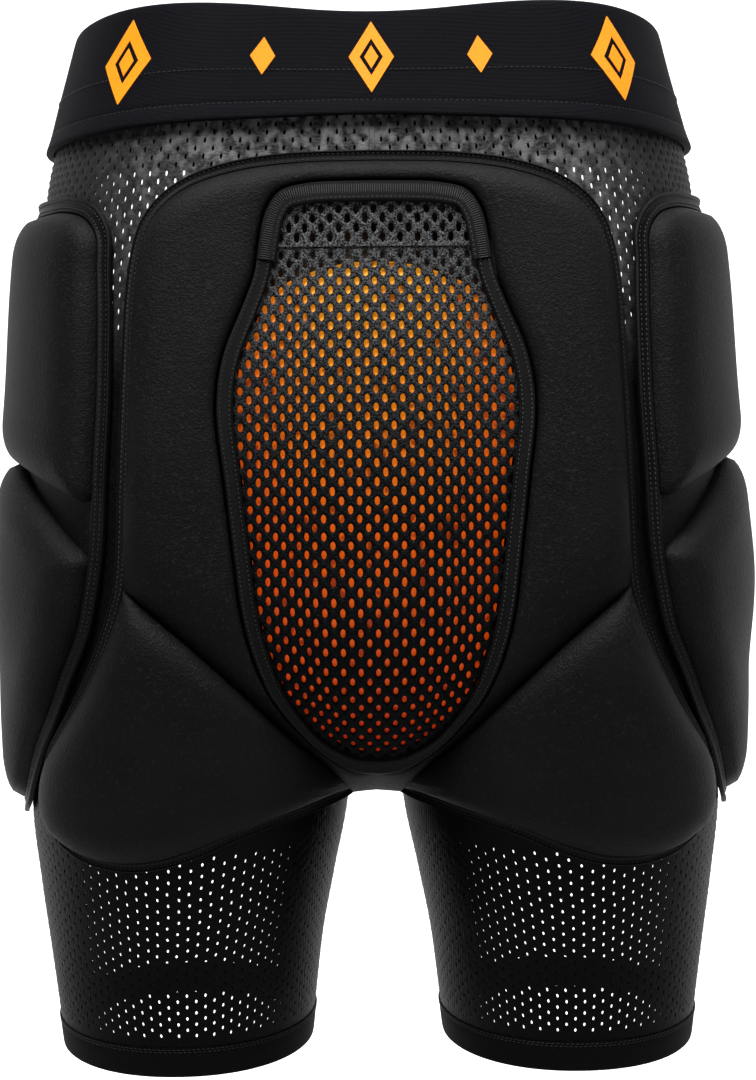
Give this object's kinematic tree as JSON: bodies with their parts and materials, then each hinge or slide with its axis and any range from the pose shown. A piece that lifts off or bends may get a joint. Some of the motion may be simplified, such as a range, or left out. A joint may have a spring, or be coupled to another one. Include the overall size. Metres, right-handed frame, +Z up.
{
  "type": "padded impact shorts with tailbone protector",
  "caption": "Padded impact shorts in worn form: pierced stretch cloth, elastic waistband, soft rear and hip pads, and a domed tailbone insert behind a net window.",
  "frame": {"origin": "on the body's axis at the middle height of the waistband, which the wearer's waist holds up", "axes": "+Z up, +Y the way the wearer faces, so the rear pads face -Y; +X to the wearer's right"},
  "size_m": [0.3528, 0.241, 0.4681],
  "materials": {
    "mesh_cloth": "black pierced stretch knit, slightly shiny ribs",
    "waistband_elastic": "matte black ribbed elastic knit with a slight blue cast",
    "hem_band": "matte black folded hem with stitch rows",
    "pad_cover": "matte black brushed knit over foam",
    "edge_tape": "black binding tape with stitch rows",
    "window_net": "grey-black spacer net of fuzzy strands",
    "insert_foam": "satin orange moulded foam"
  },
  "bodies": {
    "root": {"shorts_left": "mesh_cloth", "shorts_right": "mesh_cloth", "waistband": "waistband_elastic", "hem_left": "hem_band", "hem_right": "hem_band", "rear_pad_centre": "pad_cover", "rear_pad_lobe_left": "pad_cover", "rear_pad_lobe_right": "pad_cover", "rear_tape_upper": "edge_tape", "rear_tape_lower": "edge_tape", "window_binding": "edge_tape", "window_net": "window_net", "window_flap": "window_net", "tailbone_insert": "insert_foam", "hip_pad_upper_left": "pad_cover", "hip_pad_lower_left": "pad_cover", "hip_tape_left": "edge_tape", "hip_pad_upper_right": "pad_cover", "hip_pad_lower_right": "pad_cover", "hip_tape_right": "edge_tape"}
  },
  "joints": []
}
